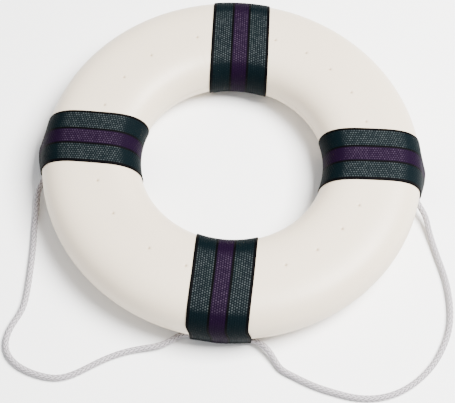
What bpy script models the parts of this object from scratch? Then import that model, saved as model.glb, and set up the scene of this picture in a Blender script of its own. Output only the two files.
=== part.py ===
"""Ring lifebuoy, lying flat, in metres with +Z up.

Two moulded shell halves close round a ring of foam. Four webbing straps are sewn round the ring, and a
grab line runs through all four: it is snug round one half and hangs in two loops from the other. Each
loop folds up about a line through the two places where it touches the ground beside the ring.
"""

import bmesh
import bpy
import numpy as np

# Ring
RING_OUTER_R = 0.254
RING_INNER_R = 0.1237
RING_HALF_DEPTH = 0.0382
SIDE_POWER = 3.6  # how flat the ring's face is: 2 would be an oval
WALL = 0.0025
GAP = 0.0003  # between pieces that touch
LIP_DEPTH = 0.004  # the front shell's lip inside the rear shell
RING_STEPS = 48
WALL_START = 12.0  # place on the section where the shell's inner curve starts, in degrees
WALL_STEPS = 8

# Filling plug
PLUG_TURN = 222.0
PLUG_R = 0.008
PLUG_FLANGE_R = 0.011
PLUG_FLANGE = 0.001

# Webbing
WEB_WIDTH = 0.079
WEB_THICK = 0.0013
WEB_GAP = 0.0004
WEB_PRESSED = 0.00025  # how far the floor flattens a strap
LAP = 0.017  # the strap's end sewn over its own start
LAP_START = -136.0  # place of the covered end on the section, in degrees
STRAP_COLUMNS = 40
STRAP_ROWS = 9
STRAPS = {  # turn round the ring in degrees, and offset sideways
    "right": (0.5, -0.0014),
    "top": (89.8, -0.0026),
    "left": (178.1, 0.0004),
    "bottom": (266.9, 0.0052),
}
THREAD_R = 0.0005
GATHER = {"right": 0.0095, "left": 0.0095}  # how far each edge is drawn in below the ring's widest line
SEAM_INSET = 0.0035  # from the lap's edges to the line of stitches

# Grab line
LINE_R = 0.004
LINE_CLEAR = 0.0005
WEB_CLEAR = 0.0014  # between the line and the webbing over it
LINE_STEP = 0.014
SLEEVE_WALL = 0.0011
SLEEVE_LENGTH = 0.034
JOINT_TURN = 89.8  # where the line's two ends meet, in degrees round the ring
# Where the line lies on the ring: turn round the ring, and place on its section, in degrees.
LINE_ON_LEFT = ((89.8, -30), (105, -33), (125, -38), (152, -40), (168, -37), (178, -19), (185.2, -31))
LINE_ON_BOTTOM = ((258.3, -47), (268, -50), (277.9, -46))
LINE_ON_RIGHT = ((-6.8, -31), (0.5, -19), (11, -37), (27, -40), (55, -38), (75, -33), (89.8, -30))
# The free loops, from strap to strap.
LEFT_LOOP = (
    (-0.2572, -0.0402, 0.0140),
    (-0.2590, -0.0673, 0.0075),
    (-0.2592, -0.0883, 0.0044),
    (-0.2578, -0.1150, 0.0042),
    (-0.2570, -0.1480, 0.0042),
    (-0.2576, -0.1840, 0.0042),
    (-0.2620, -0.2160, 0.0042),
    (-0.2706, -0.2350, 0.0042),
    (-0.2764, -0.2540, 0.0042),
    (-0.2750, -0.2710, 0.0042),
    (-0.2660, -0.2850, 0.0042),
    (-0.2470, -0.2975, 0.0042),
    (-0.2260, -0.3040, 0.0042),
    (-0.2060, -0.3055, 0.0042),
    (-0.1700, -0.2900, 0.0042),
    (-0.1490, -0.2775, 0.0042),
    (-0.1180, -0.2645, 0.0042),
    (-0.1000, -0.2605, 0.0058),
    (-0.0746, -0.2535, 0.0075),
)
RIGHT_LOOP = (
    (0.0574, -0.2569, 0.0095),
    (0.0661, -0.2682, 0.0060),
    (0.0745, -0.2790, 0.0048),
    (0.0860, -0.2858, 0.0042),
    (0.1210, -0.3010, 0.0042),
    (0.1440, -0.3075, 0.0042),
    (0.1700, -0.3125, 0.0042),
    (0.1990, -0.3110, 0.0042),
    (0.2285, -0.3000, 0.0042),
    (0.2520, -0.2820, 0.0042),
    (0.2700, -0.2605, 0.0042),
    (0.2820, -0.2380, 0.0042),
    (0.2900, -0.2140, 0.0042),
    (0.2928, -0.1890, 0.0042),
    (0.2915, -0.1640, 0.0042),
    (0.2870, -0.1385, 0.0042),
    (0.2802, -0.1150, 0.0042),
    (0.2733, -0.0920, 0.0048),
    (0.2677, -0.0720, 0.0075),
    (0.2609, -0.0508, 0.0135),
)
LEFT_FOLD = (LEFT_LOOP[3], LEFT_LOOP[16])
RIGHT_FOLD = (RIGHT_LOOP[3], RIGHT_LOOP[16])

HALF_WIDTH = (RING_OUTER_R - RING_INNER_R) / 2
MIDDLE_R = (RING_OUTER_R + RING_INNER_R) / 2
MIDDLE_Z = WEB_THICK + WEB_GAP - WEB_PRESSED + RING_HALF_DEPTH
SLEEVE_R = LINE_R + GAP + SLEEVE_WALL


def clear_scene():
    for obj in list(bpy.data.objects):
        bpy.data.objects.remove(obj, do_unlink=True)


def material(name, color, roughness, metallic=0.0):
    made = bpy.data.materials.new(name)
    made.use_nodes = True
    shader = made.node_tree.nodes["Principled BSDF"]
    shader.inputs["Base Color"].default_value = (*color, 1.0)
    shader.inputs["Roughness"].default_value = roughness
    shader.inputs["Metallic"].default_value = metallic
    return made


def add_mesh(name, points, faces, finish):
    """A closed mesh object with its faces turned outwards."""
    mesh = bpy.data.meshes.new(name)
    mesh.from_pydata([tuple(map(float, p)) for p in points], [], [list(map(int, f)) for f in faces])
    work = bmesh.new()
    work.from_mesh(mesh)
    bmesh.ops.recalc_face_normals(work, faces=work.faces)
    work.to_mesh(mesh)
    work.free()
    mesh.shade_smooth()
    mesh.set_sharp_from_angle(angle=np.radians(35))
    mesh.materials.append(finish)
    obj = bpy.data.objects.new(name, mesh)
    bpy.context.scene.collection.objects.link(obj)
    return obj


def smooth_step(value):
    value = np.clip(value, 0.0, 1.0)
    return value * value * (3 - 2 * value)


def cubic_through(knots, values, where):
    """A natural cubic curve through values at knots, read at where."""
    knots, values = np.asarray(knots, float), np.asarray(values, float)
    step = np.diff(knots)
    count = len(knots)
    system = np.eye(count)
    inner = np.arange(1, count - 1)
    system[inner, inner - 1] = step[:-1]
    system[inner, inner] = 2 * (step[:-1] + step[1:])
    system[inner, inner + 1] = step[1:]
    slope = np.diff(values, axis=0) / step.reshape(-1, *([1] * (values.ndim - 1)))
    right = np.zeros_like(values)
    right[1:-1] = 3 * np.diff(slope, axis=0)
    bend = np.linalg.solve(system, right)
    cell = np.clip(np.searchsorted(knots, where, side="right") - 1, 0, count - 2)
    shape = (-1, *([1] * (values.ndim - 1)))
    along = (np.asarray(where) - knots[cell]).reshape(shape)
    width = step[cell].reshape(shape)
    first = slope[cell] - width * (2 * bend[cell] + bend[cell + 1]) / 3
    third = (bend[cell + 1] - bend[cell]) / (3 * width)
    return values[cell] + along * (first + along * (bend[cell] + along * third))


def section(degrees, inset=0.0):
    """Points and outward normals of the ring's section: across from its middle, and up from it."""
    turn = np.radians(degrees)
    half_width, half_depth = HALF_WIDTH - inset, RING_HALF_DEPTH - inset
    across_share = np.sign(np.cos(turn)) * np.abs(np.cos(turn)) ** (2 / SIDE_POWER)
    points = np.stack([half_width * across_share, half_depth * np.sin(turn)], axis=-1)
    pull = SIDE_POWER * np.sign(across_share) * np.abs(across_share) ** (SIDE_POWER - 1) / half_width
    normals = np.stack([pull, 2 * np.sin(turn) / half_depth], axis=-1)
    return points, normals / np.linalg.norm(normals, axis=-1, keepdims=True)


def to_world(across, up, turn):
    """A place on the section carried round the ring by a turn in radians."""
    reach = MIDDLE_R + across
    height = np.broadcast_to(MIDDLE_Z + up, np.broadcast(reach, turn).shape)
    return np.stack([reach * np.cos(turn), reach * np.sin(turn), height], axis=-1)


def revolve(name, outline, finish):
    """A closed outline on the section, carried once round the ring."""
    turns = np.linspace(0, 2 * np.pi, RING_STEPS, endpoint=False)
    grid = to_world(outline[None, :, 0], outline[None, :, 1], turns[:, None])
    rows, columns = grid.shape[:2]
    index = np.arange(rows * columns).reshape(rows, columns)
    ahead, beside = np.roll(index, -1, axis=0), np.roll(index, -1, axis=1)
    faces = np.stack([index, ahead, np.roll(ahead, -1, axis=1), beside], axis=-1)
    return add_mesh(name, grid.reshape(-1, 3), faces.reshape(-1, 4), finish)


def foam_outline():
    """The hollow that the shell halves leave, less a gap all round."""
    upper = np.linspace(WALL_START, 180 - WALL_START, WALL_STEPS + 1)
    return section(np.r_[upper, upper + 180], WALL + GAP)[0]


def shell_outline(side, outer_steps=12):
    """One shell half: side is 1 for the front and -1 for the rear."""
    start = GAP / 2
    first = np.degrees(np.arcsin(start / RING_HALF_DEPTH))
    outer = section(np.linspace(first, 180 - first, outer_steps + 1))[0]
    if side > 0:
        low, edge = -LIP_DEPTH, WALL / 2 + GAP / 2
    else:
        low, edge = LIP_DEPTH + GAP, WALL / 2 - GAP / 2
    inner = section(np.linspace(180 - WALL_START, WALL_START, WALL_STEPS + 1), WALL)[0]
    far = HALF_WIDTH - WALL
    lip_in = [(-(HALF_WIDTH - edge), start), (-(HALF_WIDTH - edge), low), (-far, low)]
    lip_out = [(far, low), (HALF_WIDTH - edge, low), (HALF_WIDTH - edge, start)]
    outline = np.vstack([outer, lip_in, inner, lip_out])
    return outline * (1, side)


def add_shells(finish):
    revolve("front_shell", shell_outline(1), finish)
    rear = revolve("rear_shell", shell_outline(-1), finish)
    turn = np.radians(PLUG_TURN)
    place = MIDDLE_R * np.cos(turn), MIDDLE_R * np.sin(turn)
    bottom = MIDDLE_Z - RING_HALF_DEPTH
    cutter = add_rings(
        "plug_hole", place, [(PLUG_R + GAP, bottom - 0.002), (PLUG_R + GAP, bottom + WALL + 0.002)], finish
    )
    cutter.hide_render = True
    cutter.display_type = "WIRE"
    cut = rear.modifiers.new("plug_hole", "BOOLEAN")
    cut.operation = "DIFFERENCE"
    cut.object = cutter


def add_rings(name, place, radii, finish, sides=20):
    """An upright turned piece: (radius, height) rings from the bottom up, with flat ends."""
    turns = np.linspace(0, 2 * np.pi, sides, endpoint=False)
    points = np.concatenate(
        [
            np.stack([place[0] + r * np.cos(turns), place[1] + r * np.sin(turns), np.full(sides, z)], -1)
            for r, z in radii
        ]
    )
    index = np.arange(len(points)).reshape(len(radii), sides)
    beside = np.roll(index, -1, axis=1)
    walls = np.stack([index[:-1], beside[:-1], beside[1:], index[1:]], axis=-1).reshape(-1, 4)
    return add_mesh(name, points, [*walls, index[0][::-1], index[-1]], finish)


def add_plug(finish):
    turn = np.radians(PLUG_TURN)
    place = MIDDLE_R * np.cos(turn), MIDDLE_R * np.sin(turn)
    top = MIDDLE_Z - RING_HALF_DEPTH - GAP
    add_rings(
        "filling_plug",
        place,
        [
            (PLUG_FLANGE_R, top - PLUG_FLANGE),
            (PLUG_FLANGE_R, top),
            (PLUG_R, top),
            (PLUG_R, top + GAP + WALL),
        ],
        finish,
    )


def sleeve_swell(turn):
    """1 where the joining sleeve stands round the line, fading to 0 beside it (turn in degrees)."""
    away = np.abs((turn - JOINT_TURN + 180) % 360 - 180)
    return smooth_step((11 - away) / 5)


def line_on_ring(turn):
    """Centre of the grab line on the section, at a turn in degrees, and its outer radius there."""
    turn = np.atleast_1d(np.asarray(turn, float))
    turn = np.where(turn > 300, turn - 360, turn)
    place = np.empty_like(turn)
    for keys, low, high in (
        (LINE_ON_RIGHT, -60, JOINT_TURN),
        (LINE_ON_LEFT, JOINT_TURN, 225),
        (LINE_ON_BOTTOM, 225, 301),
    ):
        mine = (turn >= low) & (turn < high)
        ends = np.clip(turn[mine], keys[0][0], keys[-1][0])
        place[mine] = cubic_through([k[0] for k in keys], [k[1] for k in keys], ends)
    swell = sleeve_swell(turn)
    radius = LINE_R + (SLEEVE_R - LINE_R) * swell
    points, normals = section(place)
    return points + normals * (radius + LINE_CLEAR)[:, None], radius


def strap_base(centre, radius, samples=720):
    """Taut outline round the ring's section and the line beside it.

    The outermost point of both together is found in each direction, and the outline through these
    is read again at even steps of length and turning, so that it is finest where it bends most.
    It starts at LAP_START. Returns its points and outward directions, closed at the end.
    """
    body, normals = section(np.linspace(0, 360, samples, endpoint=False))
    body = body + normals * WEB_GAP
    turns = np.linspace(0, 2 * np.pi, samples, endpoint=False)
    ring = centre + (radius + WEB_CLEAR) * np.stack([np.cos(turns), np.sin(turns)], axis=-1)
    both = np.vstack([body, ring])
    start = section(np.array([LAP_START]))[1][0]
    facing = np.arctan2(start[1], start[0]) + np.linspace(0, 2 * np.pi, samples + 1)
    out = np.stack([np.cos(facing), np.sin(facing)], axis=-1)
    points = both[np.argmax(out @ both.T, axis=1)]
    length = np.r_[0, np.cumsum(np.linalg.norm(np.diff(points, axis=0), axis=1))]
    measure = length / length[-1] + np.linspace(0, 1, samples + 1)
    return points, facing, length, measure / measure[-1]


def beside_ring(line):
    """Turn round the ring and place on its section of every part of the line that lies near its skin."""
    turn = np.degrees(np.arctan2(line[:, 1], line[:, 0])) % 360
    spot = np.stack([np.hypot(line[:, 0], line[:, 1]) - MIDDLE_R, line[:, 2] - MIDDLE_Z], axis=-1)
    near = spot[:, 0] < HALF_WIDTH + 0.02
    order = np.argsort(turn[near])
    return turn[near][order], spot[near][order]


def strap_frame(name, line):
    """Functions that place a strap: its rows across, and points at (row, share round, height off)."""
    held_turn, held_spot = beside_ring(line)
    turn, sideways = np.radians(STRAPS[name][0]), STRAPS[name][1]
    across = sideways + np.linspace(-0.5, 0.5, STRAP_ROWS) * WEB_WIDTH
    gather = GATHER.get(name, 0.0)

    def place(offset, share, height):
        """World places at an offset across the ring's radius, a share round, and a height off it."""
        spread = (offset - sideways) / (WEB_WIDTH / 2)
        azimuth = np.degrees(turn + np.arcsin((offset - gather * spread) / (RING_OUTER_R + WEB_GAP)))
        centre = np.array([np.interp(azimuth % 360, held_turn, held_spot[:, k], period=360) for k in (0, 1)])
        radius = LINE_R + (SLEEVE_R - LINE_R) * sleeve_swell(azimuth)
        points, facing, length, measure = strap_base(centre, radius)
        whole = np.mod(share, 1.0)
        spot = np.stack([np.interp(whole, measure, points[:, k]) for k in (0, 1)], axis=-1)
        turned = np.interp(whole, measure, facing)
        spot = spot + height[:, None] * np.stack([np.cos(turned), np.sin(turned)], axis=-1)
        below = smooth_step(0.15 - spot[:, 1] / RING_HALF_DEPTH / 0.45)
        below = below * smooth_step((spot[:, 0] / HALF_WIDTH - 0.1) / 0.6)
        side = offset - below * gather * spread
        reach = MIDDLE_R + spot[:, 0]
        ahead = np.sqrt(reach**2 - side**2)
        x = ahead * np.cos(turn) - side * np.sin(turn)
        y = ahead * np.sin(turn) + side * np.cos(turn)
        return np.stack([x, y, MIDDLE_Z + spot[:, 1]], axis=-1)

    def share_of(distance):
        """The share round that lies a distance along the strap from its covered end."""
        points, facing, length, measure = strap_base(np.zeros(2), LINE_R)
        return float(np.interp(distance, length, measure))

    return across, place, share_of


def solid_from_grids(name, inner, outer, finish):
    """A bent plate between two grids of points, closed along its four edges."""
    rows, columns = inner.shape[:2]
    low = np.arange(rows * columns).reshape(rows, columns)
    high = low + rows * columns
    faces = []
    for index, step in ((low, 1), (high, -1)):
        quads = np.stack([index[:-1, :-1], index[1:, :-1], index[1:, 1:], index[:-1, 1:]], axis=-1)
        faces.append(quads.reshape(-1, 4)[:, ::step])
    for a, b in ((low[0], high[0]), (high[-1], low[-1]), (high[:, 0], low[:, 0]), (low[:, -1], high[:, -1])):
        faces.append(np.stack([a[:-1], a[1:], b[1:], b[:-1]], axis=-1))
    points = np.vstack([inner.reshape(-1, 3), outer.reshape(-1, 3)])
    return add_mesh(name, points, np.vstack(faces), finish)


def add_strap(name, line, finish):
    """Webbing once round the ring and over the line, its end lapped over its own start."""
    across, place, share_of = strap_frame(name, line)
    lap_share = share_of(LAP)
    count = int(round(STRAP_COLUMNS * (1 + lap_share)))
    share = np.linspace(0, 1 + lap_share, count + 1)
    climb = share_of(0.005)
    rise = (WEB_THICK + WEB_GAP) * smooth_step((share - (1 - climb)) / climb)
    inner = np.stack([place(offset, share, rise) for offset in across])
    outer = np.stack([place(offset, share, rise + WEB_THICK) for offset in across])
    outer[..., 2] = np.maximum(outer[..., 2], 0.0)
    solid_from_grids(f"strap_{name}", inner, outer, finish)


def add_stitching(name, line, finish, sides=5):
    """The thread of the box of stitches that holds the lap, standing on the outer layer."""
    across, place, share_of = strap_frame(name, line)
    low, high = share_of(SEAM_INSET), share_of(LAP - SEAM_INSET)
    side = WEB_WIDTH / 2 - SEAM_INSET
    middle = across.mean()
    along = np.linspace(low, high, 6)
    over = np.linspace(-side, side, 7)
    corner = 0.15 * (high - low)
    path = [(middle - side, s) for s in along[::-1]]
    path[0] = (middle - side, high - corner)
    path[-1] = (middle - side, low + corner)
    path += [(middle + o, low) for o in over[1:-1]]
    far = [(middle + side, s) for s in along]
    far[0] = (middle + side, low + corner)
    far[-1] = (middle + side, high - corner)
    path += far
    path += [(middle + o, high) for o in over[::-1][1:-1]]
    height = 2 * WEB_THICK + WEB_GAP + GAP + THREAD_R
    lifted = [
        np.concatenate([place(o, np.array([1 + s]), np.array([h])) for o, s in path])
        for h in (height, height + 0.001)
    ]
    centre = lifted[0]
    up = lifted[1] - lifted[0]
    up /= np.linalg.norm(up, axis=1, keepdims=True)
    ahead = np.roll(centre, -1, axis=0) - np.roll(centre, 1, axis=0)
    beside = np.cross(ahead, up)
    beside /= np.linalg.norm(beside, axis=1, keepdims=True)
    turns = np.linspace(0, 2 * np.pi, sides, endpoint=False)
    ring = np.cos(turns)[None, :, None] * up[:, None] + np.sin(turns)[None, :, None] * beside[:, None]
    points = centre[:, None] + THREAD_R * ring
    index = np.arange(len(centre) * sides).reshape(len(centre), sides)
    ahead_index = np.roll(index, -1, axis=0)
    faces = np.stack([index, ahead_index, np.roll(ahead_index, -1, 1), np.roll(index, -1, 1)], axis=-1)
    add_mesh(f"stitching_{name}", points.reshape(-1, 3), faces.reshape(-1, 4), finish)


def held_places(keys, step=6.0):
    """Places of the line along a stretch that straps and ring hold."""
    first, last = keys[0][0], keys[-1][0]
    turns = np.linspace(first, last, max(3, int(round(abs(last - first) / step)) + 1))
    inside = np.clip(turns, min(first, last) + 1e-6, max(first, last) - 1e-6)
    centre, _ = line_on_ring(inside)
    return to_world(centre[:, 0], centre[:, 1], np.radians(inside))


def clear_of_ring(points):
    """The same points, with any that are too near the ring's skin moved straight out from it."""
    skin, normals = section(np.linspace(0, 360, 720, endpoint=False))
    turn = np.arctan2(points[:, 1], points[:, 0])
    spot = np.stack([np.hypot(points[:, 0], points[:, 1]) - MIDDLE_R, points[:, 2] - MIDDLE_Z], axis=-1)
    nearest = np.argmin(np.linalg.norm(spot[:, None] - skin[None], axis=-1), axis=1)
    away = np.sum((spot - skin[nearest]) * normals[nearest], axis=1)
    short = np.maximum(LINE_R + LINE_CLEAR - away, 0.0)
    spot = spot + short[:, None] * normals[nearest]
    return to_world(spot[:, 0], spot[:, 1], turn)


def whole_line():
    """The grab line's centre from its joint under the top strap, left round, and back to the joint.

    Returns dense points, their distance along the line, and the distance at each free loop's knots.
    """
    parts = [
        held_places(LINE_ON_LEFT),
        np.array(LEFT_LOOP),
        held_places(LINE_ON_BOTTOM),
        np.array(RIGHT_LOOP),
        held_places(LINE_ON_RIGHT),
    ]
    knots = np.vstack(parts)
    chord = np.r_[0, np.cumsum(np.linalg.norm(np.diff(knots, axis=0), axis=1))]
    fine = np.linspace(0, chord[-1], 4001)
    points = clear_of_ring(cubic_through(chord, knots, fine))
    points[:, 2] = np.maximum(points[:, 2], LINE_R + GAP / 2)
    along = np.r_[0, np.cumsum(np.linalg.norm(np.diff(points, axis=0), axis=1))]
    counts = np.cumsum([len(p) for p in parts])
    knot_along = np.interp(chord, fine, along)
    return points, along, knot_along[counts[0] : counts[1]], knot_along[counts[2] : counts[3]]


def add_line_piece(name, line, along, first, last, finish, fold=None):
    """A stretch of the grab line between two distances along it. One that folds has its origin there."""
    count = max(2, int(np.ceil((last - first) / LINE_STEP)))
    stations = np.linspace(first, last, count + 1)
    places = np.stack([np.interp(stations, along, line[:, k]) for k in range(3)], axis=-1)
    origin = np.array(fold[0]) if fold else np.zeros(3)
    curve = bpy.data.curves.new(name, "CURVE")
    curve.dimensions = "3D"
    curve.bevel_depth = LINE_R
    curve.bevel_resolution = 2
    curve.use_fill_caps = True
    spline = curve.splines.new("POLY")
    spline.points.add(len(places) - 1)
    for point, place in zip(spline.points, places - origin):
        point.co = (*place, 1.0)
    curve.materials.append(finish)
    obj = bpy.data.objects.new(name, curve)
    obj.location = origin
    bpy.context.scene.collection.objects.link(obj)
    return obj


def add_grab_line(whole, finish):
    """The line in five stretches: the two loops fold, so they stop short of the stretches beside them."""
    line, along, left, right = whole
    stop = LINE_R + WEB_GAP
    fold = (left[3], left[16], right[3], right[16])
    add_line_piece("grab_line_upper_left", line, along, 2 * GAP, fold[0] - stop, finish)
    add_line_piece("grab_line_left_loop", line, along, fold[0], fold[1], finish, LEFT_FOLD)
    add_line_piece("grab_line_lower", line, along, fold[1] + stop, fold[2] - stop, finish)
    add_line_piece("grab_line_right_loop", line, along, fold[2], fold[3], finish, RIGHT_FOLD)
    add_line_piece("grab_line_upper_right", line, along, fold[3] + stop, along[-1] - 2 * GAP, finish)


def add_sleeve(finish, sides=12, rings=5):
    """The sleeve that joins the line's two ends, bent with the line it holds."""
    half = np.degrees(SLEEVE_LENGTH / 2 / RING_OUTER_R)
    turns = np.linspace(JOINT_TURN - half, JOINT_TURN + half, rings)
    centre, _ = line_on_ring(turns)
    place = to_world(centre[:, 0], centre[:, 1], np.radians(turns))
    out = np.stack([np.cos(np.radians(turns)), np.sin(np.radians(turns)), 0 * turns], axis=-1)
    around = np.linspace(0, 2 * np.pi, sides, endpoint=False)
    spoke = out[:, None] * np.cos(around)[None, :, None] + np.array([0, 0, 1]) * np.sin(around)[None, :, None]
    outer = place[:, None] + SLEEVE_R * spoke
    inner = place[:, None] + (SLEEVE_R - SLEEVE_WALL) * spoke
    grid = np.concatenate([outer, inner[::-1]])
    index = np.arange(2 * rings * sides).reshape(2 * rings, sides)
    ahead = np.roll(index, -1, axis=0)
    faces = np.stack([index, ahead, np.roll(ahead, -1, 1), np.roll(index, -1, 1)], axis=-1)
    add_mesh("line_joining_sleeve", grid.reshape(-1, 3), faces.reshape(-1, 4), finish)


def main():
    clear_scene()
    shell = material("shell_plastic", (0.80, 0.77, 0.71), 0.45)
    foam = material("foam", (0.78, 0.66, 0.42), 0.9)
    webbing = material("webbing", (0.015, 0.060, 0.065), 0.75)
    thread = material("thread", (0.02, 0.03, 0.035), 0.6)
    rope = material("line_fibre", (0.78, 0.77, 0.80), 0.8)
    sleeve = material("sleeve_plastic", (0.75, 0.75, 0.76), 0.5)
    add_shells(shell)
    revolve("foam_core", foam_outline(), foam)
    add_plug(shell)
    whole = whole_line()
    for name in STRAPS:
        add_strap(name, whole[0], webbing)
        add_stitching(name, whole[0], thread)
    add_grab_line(whole, rope)
    add_sleeve(sleeve)


main()
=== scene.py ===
"""Ring lifebuoy: the skin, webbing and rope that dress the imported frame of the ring.

Lengths are in metres. The ring lies on the floor with its axis along +Z through the origin. A
place on its section is given as (across, up): across is measured outwards from the ring's middle
line, and up from the parting line of its two halves.
"""

import logging
from dataclasses import dataclass, field
from enum import Enum

import bpy
import numpy as np
from mathutils import Matrix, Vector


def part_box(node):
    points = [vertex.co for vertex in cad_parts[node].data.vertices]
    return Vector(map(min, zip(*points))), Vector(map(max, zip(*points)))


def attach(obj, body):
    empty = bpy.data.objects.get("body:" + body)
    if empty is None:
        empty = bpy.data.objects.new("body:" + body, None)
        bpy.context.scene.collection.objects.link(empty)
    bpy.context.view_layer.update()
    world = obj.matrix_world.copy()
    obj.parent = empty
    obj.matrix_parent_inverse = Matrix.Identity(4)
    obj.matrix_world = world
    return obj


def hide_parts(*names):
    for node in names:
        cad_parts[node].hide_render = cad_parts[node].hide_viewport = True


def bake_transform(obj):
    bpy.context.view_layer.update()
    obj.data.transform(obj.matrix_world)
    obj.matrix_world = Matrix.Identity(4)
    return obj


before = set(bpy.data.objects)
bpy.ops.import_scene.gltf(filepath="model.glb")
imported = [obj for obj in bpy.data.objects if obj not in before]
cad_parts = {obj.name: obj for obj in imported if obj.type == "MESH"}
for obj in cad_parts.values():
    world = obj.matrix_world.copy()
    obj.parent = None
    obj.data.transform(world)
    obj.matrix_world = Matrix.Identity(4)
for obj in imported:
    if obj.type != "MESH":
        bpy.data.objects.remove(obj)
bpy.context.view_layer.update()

log = logging.getLogger("lifebuoy")

Colour = tuple[float, float, float]
Point = tuple[float, float, float]
MM = 0.001
HOLE_R = 0.1237  # the hole's radius at the skin, between the straps
WEAVE_CELL = (3.0, 3.3)  # a woven crown's pitch across and along the webbing, in millimetres
RIB_PITCH = 0.65  # of the ribs along the webbing, in millimetres
CURVE_SAMPLES = 4001
DENSITY_SAMPLES = 20001


class Turn(Enum):
    """The four places of the webbing: turn round the ring in degrees."""

    RIGHT = 0.5
    TOP = 89.8
    LEFT = 178.1
    BOTTOM = 266.9


# ---------------------------------------------------------------- curves and meshes


def smooth_step(value: np.ndarray) -> np.ndarray:
    """Rise from 0 to 1 with level ends: three times the square less twice the cube.

    Args:
        value: Where on the rise, held between 0 and 1.

    Returns:
        The risen values.
    """
    value = np.clip(value, 0.0, 1.0)
    return value * value * (3 - 2 * value)


def cubic_through(knots: np.ndarray, values: np.ndarray, where: np.ndarray) -> np.ndarray:
    """Read a natural cubic curve: third-power pieces whose bend is even across every knot.

    Args:
        knots: Rising positions of the values.
        values: One number or one point for each knot.
        where: Positions to read.

    Returns:
        The curve's values there.
    """
    knots, values = np.asarray(knots, float), np.asarray(values, float)
    step = np.diff(knots)
    count = len(knots)
    system = np.eye(count)
    inner = np.arange(1, count - 1)
    system[inner, inner - 1] = step[:-1]
    system[inner, inner] = 2 * (step[:-1] + step[1:])
    system[inner, inner + 1] = step[1:]
    slope = np.diff(values, axis=0) / step.reshape(-1, *([1] * (values.ndim - 1)))
    right = np.zeros_like(values)
    right[1:-1] = 3 * np.diff(slope, axis=0)
    bend = np.linalg.solve(system, right)
    cell = np.clip(np.searchsorted(knots, where, side="right") - 1, 0, count - 2)
    shape = (-1, *([1] * (values.ndim - 1)))
    along = (np.asarray(where) - knots[cell]).reshape(shape)
    width = step[cell].reshape(shape)
    first = slope[cell] - width * (2 * bend[cell] + bend[cell + 1]) / 3
    third = (bend[cell + 1] - bend[cell]) / (3 * width)
    return values[cell] + along * (first + along * (bend[cell] + along * third))


def graded(
    low: float, high: float, coarse: float, fine: float, reach: float, spots: np.ndarray
) -> np.ndarray:
    """Spread stations between two ends, close together near some spots.

    The density is one over the coarse step, plus a bell of the fine step's density round each spot,
    and stations stand at even shares of its running sum.

    Args:
        low: First station.
        high: Last station.
        coarse: Step far from the spots.
        fine: Step at the spots.
        reach: Half width of each bell.
        spots: Where the stations close up.

    Returns:
        Rising stations, both ends among them.
    """
    place = np.linspace(low, high, DENSITY_SAMPLES)
    away = (place[:, None] - np.atleast_1d(spots)[None]) / reach
    bells = np.exp(-(away**2)).max(axis=1)
    density = 1 / coarse + (1 / fine - 1 / coarse) * bells
    total = np.r_[0, np.cumsum((density[1:] + density[:-1]) / 2 * np.diff(place))]
    shares = np.linspace(0, total[-1], int(np.ceil(total[-1])) + 1)
    return np.interp(shares, total, place)


def ring_quads(rows: int, columns: int, closed_rows: bool) -> np.ndarray:
    """Join a grid of points, closed along its columns, into four-sided faces.

    Args:
        rows: Points along the sweep.
        columns: Points round each ring.
        closed_rows: Whether the last ring joins the first.

    Returns:
        Four point numbers for each face.
    """
    index = np.arange(rows * columns).reshape(rows, columns)
    ahead = np.roll(index, -1, axis=0)
    if not closed_rows:
        index, ahead = index[:-1], ahead[:-1]
    corners = [index, ahead, np.roll(ahead, -1, axis=1), np.roll(index, -1, axis=1)]
    return np.stack(corners, -1).reshape(-1, 4)


def link_piece(name: str, mesh: bpy.types.Mesh, marks: dict[str, np.ndarray]) -> bpy.types.Object:
    """Put a mesh into the scene.

    Args:
        name: The piece's name.
        mesh: Its finished mesh.
        marks: Named numbers at each point, kept as attributes.

    Returns:
        The new object.
    """
    for label, values in marks.items():
        kept = mesh.attributes.new(label, "FLOAT", "POINT")
        kept.data.foreach_set("value", values.astype(np.float32).ravel())
    piece = bpy.data.objects.new(name, mesh)
    bpy.context.scene.collection.objects.link(piece)
    return piece


def make_piece(
    name: str,
    grid: np.ndarray,
    closed_rows: bool = False,
    flip: bool = False,
    flat: np.ndarray | None = None,
    marks: dict[str, np.ndarray] | None = None,
    crease: float = 35.0,
) -> bpy.types.Object:
    """Make a swept solid from a grid of rings, with flat ends unless the sweep closes.

    Args:
        name: The piece's name.
        grid: Points as (ring, place round the ring, xyz).
        closed_rows: Whether the last ring joins the first.
        flip: Turn every face the other way.
        flat: Two surface measures in millimetres at each point, kept as the piece's UV map.
        marks: Named numbers at each point, kept as attributes.
        crease: Angle in degrees past which an edge is sharp.

    Returns:
        The new object.
    """
    rows, columns = grid.shape[:2]
    quads = ring_quads(rows, columns, closed_rows)
    last_ring = np.arange(rows * columns - columns, rows * columns)
    caps = [] if closed_rows else [np.arange(columns), last_ring[::-1]]
    if flip:
        quads, caps = quads[:, ::-1], [cap[::-1] for cap in caps]
    corners = np.concatenate([quads.ravel(), *caps]).astype(np.int32)
    cap_starts = len(quads) * 4 + np.arange(len(caps)) * columns
    starts = np.r_[np.arange(len(quads)) * 4, cap_starts].astype(np.int32)
    mesh = bpy.data.meshes.new(name)
    mesh.vertices.add(rows * columns)
    mesh.vertices.foreach_set("co", grid.astype(np.float32).ravel())
    mesh.loops.add(len(corners))
    mesh.loops.foreach_set("vertex_index", corners)
    mesh.polygons.add(len(starts))
    mesh.polygons.foreach_set("loop_start", starts)
    mesh.update(calc_edges=True)
    mesh.validate()
    mesh.shade_smooth()
    mesh.set_sharp_from_angle(angle=np.radians(crease))
    if flat is not None:
        layer = mesh.uv_layers.new(name="cloth")
        layer.data.foreach_set("uv", flat.reshape(-1, 2)[corners].astype(np.float32).ravel())
    return link_piece(name, mesh, marks or {})


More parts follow.
